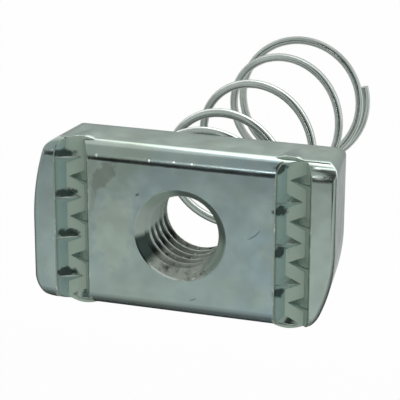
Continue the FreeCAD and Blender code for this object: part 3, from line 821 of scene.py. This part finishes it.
def coiled_wire_tree(turns):
    """Winds a wire into the spring, left-handed, from its staked end down to its foot.

    The pitch is summed along the wire: it is closed at both ends, climbs over the wire's own
    end after the first coil, and is open between. The open pitch fills the length. The free
    coils stand a little off the axis of the staked one.
    """
    tree, given = geometry_tree("coiled_wire", {
        "NodeSocketFloat": ("Wire Radius", "Base Radius", "Foot Radius", "Turns",
                            "Foot Angle", "Closed Pitch", "Top", "Bottom", "Offset X",
                            "Offset Y"),
        "NodeSocketInt": ("Steps", "Sides"), "NodeSocketMaterial": ("Material",)})
    count = add_node(tree, "FunctionNodeFloatToInt", {
        0: compute(tree, "MULTIPLY", given["Turns"], given["Steps"])}).outputs[0]
    last = compute(tree, "SUBTRACT", count, 1.0)
    factor = compute(tree, "DIVIDE", make(tree, "InputIndex"), last)
    turn = compute(tree, "MULTIPLY", factor, given["Turns"])

    highest = max(value for place, value in CLOSE_FROM_NUT)
    close = read_curve(tree, factor, along_wire(
        turns, CLOSE_FROM_NUT, CLOSE_FROM_FOOT, highest))
    pitch = compute(tree, "MULTIPLY", close, compute(
        tree, "MULTIPLY", given["Closed Pitch"], highest))
    closed = sum_up(tree, compute(
        tree, "MULTIPLY", pitch, compute(tree, "DIVIDE", given["Turns"], last)))
    opened = sum_up(tree, read_curve(tree, factor, along_wire(
        turns, OPEN_FROM_NUT, OPEN_FROM_FOOT, 1.0)))
    open_height = compute(tree, "SUBTRACT", compute(
        tree, "SUBTRACT", given["Top"], given["Bottom"]), closed["Total"])
    open_share = compute(tree, "DIVIDE", opened["Trailing"], opened["Total"])
    drop = compute(tree, "ADD", closed["Trailing"],
                   compute(tree, "MULTIPLY", open_height, open_share))

    flare = ramp(tree, compute(tree, "SUBTRACT", given["Turns"], turn), FLARE_FROM_FOOT, 0.0)
    radius = compute(tree, "MULTIPLY_ADD", compute(tree, "MULTIPLY", flare, flare),
                     compute(tree, "SUBTRACT", given["Foot Radius"], given["Base Radius"]),
                     given["Base Radius"])
    angle = compute(tree, "MULTIPLY_ADD", compute(tree, "SUBTRACT", turn, given["Turns"]),
                    FULL_TURN, given["Foot Angle"])
    shift = ramp(tree, turn, *SHIFT_FROM_NUT, kind="SMOOTHSTEP")
    place = around_axis(tree, radius, angle, compute(tree, "SUBTRACT", given["Top"], drop),
                        compute(tree, "MULTIPLY", shift, given["Offset X"]),
                        compute(tree, "MULTIPLY", shift, given["Offset Y"]))
    wound = make(tree, "SetPosition", {
        "Geometry": make(tree, "MeshLine", {"Count": count}), "Position": place})
    upright = make(tree, "SetCurveNormal", {
        "Curve": make(tree, "MeshToCurve", {"Mesh": wound})}, mode="Z_UP")
    section = make(tree, "CurvePrimitiveCircle", {
        "Resolution": given["Sides"], "Radius": given["Wire Radius"]})
    wire = make(tree, "CurveToMesh", {
        "Curve": upright, "Profile Curve": section, "Fill Caps": True})
    add_node(tree, "NodeGroupOutput", {"Geometry": make(tree, "SetMaterial", {
        "Geometry": make(tree, "RealizeInstances", {"Geometry": wire}),
        "Material": given["Material"]})})
    return tree


class STRUTNUT_OT_spring(Operator):
    """Make the coiled wire spring that is staked to the nut's back"""
    bl_idname = "strut_nut.spring"
    bl_label = "Spring"

    def execute(self, context):
        settings = context.scene.strut_nut_spring
        piece = link_piece("coiled_wire_spring", bpy.data.meshes.new("coiled_wire_spring"))
        run_tree(piece, coiled_wire_tree(settings.turns), {
            "Wire Radius": settings.wire_radius, "Base Radius": settings.base_coil_radius,
            "Foot Radius": settings.foot_coil_radius, "Turns": settings.turns,
            "Foot Angle": settings.foot_angle,
            "Closed Pitch": 2 * settings.wire_radius + settings.coil_gap,
            "Top": NUT_BACK - settings.wire_radius - settings.coil_clearance,
            "Bottom": settings.wire_radius, "Offset X": settings.coil_offset[0],
            "Offset Y": settings.coil_offset[1], "Steps": settings.wire_steps,
            "Sides": settings.wire_sides, "Material": wire_material(settings)})
        piece.data.shade_smooth()
        piece.data.set_sharp_from_angle(angle=WIRE_SHARP_ANGLE)
        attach(piece, "root")
        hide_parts("spring")
        return {"FINISHED"}


# ------------------------------------------------------------------- stage

FLOOR_CORNERS = 96
FLOOR_WHITENESS = 0.98                   # share of plain white in the floor; the rest is lit
CEILING_WAY = (0.0, 0.5, 0.866)          # towards the brightest part of the ceiling
CEILING_SPAN = (-0.35, 0.6)              # heights that way where its light starts and is full

# Lamps and cards round the nut: the middle in metres from the nut's clamping face, the point
# faced, also from there, the width and height, and the brightness that a mirror would show.
LAMPS = {
    "rear_panel": {"place": (0.264, 0.175, -0.054), "faces": (0.264, 0.175, 1.0),
                   "size": (0.6, 0.22), "shows": 2.3},
    "near_panel": {"place": (0.0, 0.050, -0.055), "faces": (0.0, 0.050, 1.0),
                   "size": (0.6, 0.03), "shows": 1.6},
    "overhead_strip": {"place": (-0.0205, 0.0467, 0.106), "faces": (-0.0205, 0.0, 0.0),
                       "size": (0.035, 0.0075), "shows": 3.0},
    "corner_strip": {"place": (-0.0130, 0.0470, 0.107), "faces": (-0.0130, 0.0, 0.0),
                     "size": (0.021, 0.0075), "shows": 4.5},
    "fill_panel": {"place": (0.45, -0.05, 0.40), "faces": (0.0, 0.0, 0.0),
                   "size": (0.3, 0.3), "shows": 3.2, "in_mirrors": False},
}
CARDS = {
    "rear_card": {"place": (0.0, 0.45, 0.34), "faces": (0.0, 0.0, 0.34), "size": (1.8, 0.66),
                  "shows": 0.60},
    "middle_card": {"place": (-0.15, 0.28, 0.55), "faces": (-0.15, 0.28, 0.0),
                    "size": (0.9, 0.34), "shows": 0.60},
    "near_card": {"place": (0.008, 0.10, 0.076), "faces": (0.008, 0.0, 0.076),
                  "size": (0.036, 0.15), "shows": 0.06},
    "overhead_card": {"place": (-0.15, -0.03, 0.55), "faces": (-0.15, -0.03, 0.0),
                      "size": (0.9, 0.28), "shows": 0.03},
    # a dark card on the floor in front, standing in for the nut's shadow there as the metal
    # mirrors it
    "front_shadow_card": {"place": (0.0, -0.84, -0.054), "faces": (0.0, -0.84, 1.0),
                   "size": (3.0, 1.6), "shows": 0.12},
    "camera_card": {"place": (0.104, 0.122, 0.312), "faces": (0.0, 0.0, 0.0),
                    "size": (0.36, 0.36), "shows": 0.02},
}


def place_round_nut(item, place, faces):
    """Put a lamp or card near the nut, turned to face a point and with its base level."""
    away = Vector(place) - Vector(faces)
    item.location = Vector((0.0, 0.0, CLAMPING_FACE)) + Vector(place)
    item.rotation_euler = away.to_track_quat("Z", "Y").to_euler()
    item.visible_camera = False


def add_lamp(name, place, faces, size, shows, in_mirrors=True):
    """A rectangular soft lamp that looks as bright as a given value in a mirror."""
    lamp = bpy.data.lights.new(name, "AREA")
    lamp.shape = "RECTANGLE"
    lamp.size, lamp.size_y = size
    lamp.energy = shows * math.pi * size[0] * size[1]
    item = link_piece(name, lamp)
    place_round_nut(item, place, faces)
    item.visible_glossy = in_mirrors


def flat_mesh(name, corners):
    """A mesh of one flat face."""
    mesh = bpy.data.meshes.new(name)
    mesh.from_pydata(corners, [], [range(len(corners))])
    return mesh


def card_material(name, shows):
    """Matt card that looks as bright as a given value in a mirror."""
    material, tree, shader = new_material(name)
    fill_inputs(tree, shader, {
        "Base Color": (0.0, 0.0, 0.0, 1.0), "Roughness": 0.9,
        "Emission Color": STUDIO_WHITE, "Emission Strength": shows})
    return material


def add_card(name, place, faces, size, shows):
    """A card that the metal mirrors."""
    width, height = size[0] / 2, size[1] / 2
    mesh = flat_mesh(name, [(-width, -height, 0), (width, -height, 0), (width, height, 0),
                            (-width, height, 0)])
    mesh.materials.append(card_material(name, shows))
    item = link_piece(name, mesh)
    place_round_nut(item, place, faces)


def floor_material():
    """White paper that keeps a faint shadow and shows plain white in mirrors."""
    material, tree, shader = new_material("floor_paper")
    fill_inputs(tree, shader, {"Base Color": (0.85, 0.85, 0.85, 1.0), "Roughness": 0.9})
    glow = add_node(tree, "ShaderNodeEmission", {"Strength": 1.0})
    rays = add_node(tree, "ShaderNodeLightPath").outputs
    seen = compute(tree, "MAXIMUM", rays["Is Camera Ray"], compute(
        tree, "MAXIMUM", rays["Is Glossy Ray"], rays["Is Transmission Ray"]))
    white = compute(tree, "MULTIPLY", seen, FLOOR_WHITENESS)
    mixed = add_node(tree, "ShaderNodeMixShader", {
        0: white, 1: shader.outputs[0], 2: glow.outputs[0]})
    tree.links.new(mixed.outputs[0], tree.nodes["Material Output"].inputs["Surface"])
    return material


def add_floor(radius):
    """A round floor under the spring's foot."""
    around = [FULL_TURN * step / FLOOR_CORNERS for step in range(FLOOR_CORNERS)]
    mesh = flat_mesh("floor", [(radius * math.cos(angle), radius * math.sin(angle), 0.0)
                               for angle in around])
    mesh.materials.append(floor_material())
    link_piece("floor", mesh)


def light_surroundings(ceiling, front):
    """Soft light from the studio's ceiling, which falls off towards the floor in front."""
    world = bpy.data.worlds.new("studio")
    world.use_nodes = True
    tree = world.node_tree
    height = compute_vector(tree, "DOT_PRODUCT", coordinates(tree, "Generated"), CEILING_WAY)
    fill_inputs(tree, tree.nodes["Background"], {
        "Color": STUDIO_WHITE, "Strength": ramp(tree, height, *CEILING_SPAN, front, ceiling)})
    bpy.context.scene.world = world


def add_camera(place, turn, focal_length):
    """The camera that looks down on the clamping face."""
    lens = bpy.data.cameras.new("camera")
    lens.sensor_width = 36.0
    lens.lens = focal_length
    lens.clip_start = 0.01
    camera = link_piece("camera", lens)
    camera.location = place
    camera.rotation_euler = Euler(turn)
    bpy.context.scene.camera = camera


class STRUTNUT_OT_stage(Operator):
    """Make the floor, the lamps, the cards and the camera"""
    bl_idname = "strut_nut.stage"
    bl_label = "Stage"

    def execute(self, context):
        settings = context.scene.strut_nut_stage
        add_floor(settings.floor_radius)
        light_surroundings(settings.ceiling, settings.front)
        for name, values in LAMPS.items():
            add_lamp(name, **values)
        for name, values in CARDS.items():
            add_card(name, **values)
        add_camera(settings.camera_place, settings.camera_turn, settings.camera_lens)
        context.scene.view_settings.view_transform = "Standard"
        return {"FINISHED"}


# ------------------------------------------------------------------ add-on

SETTINGS = {"strut_nut_body": NutSettings, "strut_nut_spring": SpringSettings,
            "strut_nut_stage": StageSettings}
OPERATORS = (STRUTNUT_OT_nut_body, STRUTNUT_OT_spring, STRUTNUT_OT_stage)


class STRUTNUT_PT_panel(Panel):
    """Sizes and finishes of the strut spring nut"""
    bl_idname = "STRUTNUT_PT_panel"
    bl_label = "Strut Spring Nut"
    bl_space_type = "VIEW_3D"
    bl_region_type = "UI"
    bl_category = "Strut Nut"

    def draw(self, context):
        for group, operator in zip(SETTINGS, OPERATORS):
            box = self.layout.box()
            for name in SETTINGS[group].__annotations__:
                box.prop(getattr(context.scene, group), name)
            box.operator(operator.bl_idname)


CLASSES = (*SETTINGS.values(), *OPERATORS, STRUTNUT_PT_panel)


def register():
    for item in CLASSES:
        bpy.utils.register_class(item)
    for name, kind in SETTINGS.items():
        setattr(bpy.types.Scene, name, PointerProperty(type=kind))


def unregister():
    for name in SETTINGS:
        delattr(bpy.types.Scene, name)
    for item in reversed(CLASSES):
        bpy.utils.unregister_class(item)


def main():
    register()
    bpy.ops.strut_nut.nut_body()
    bpy.ops.strut_nut.spring()
    bpy.ops.strut_nut.stage()


if __name__ == "__main__":
    main()
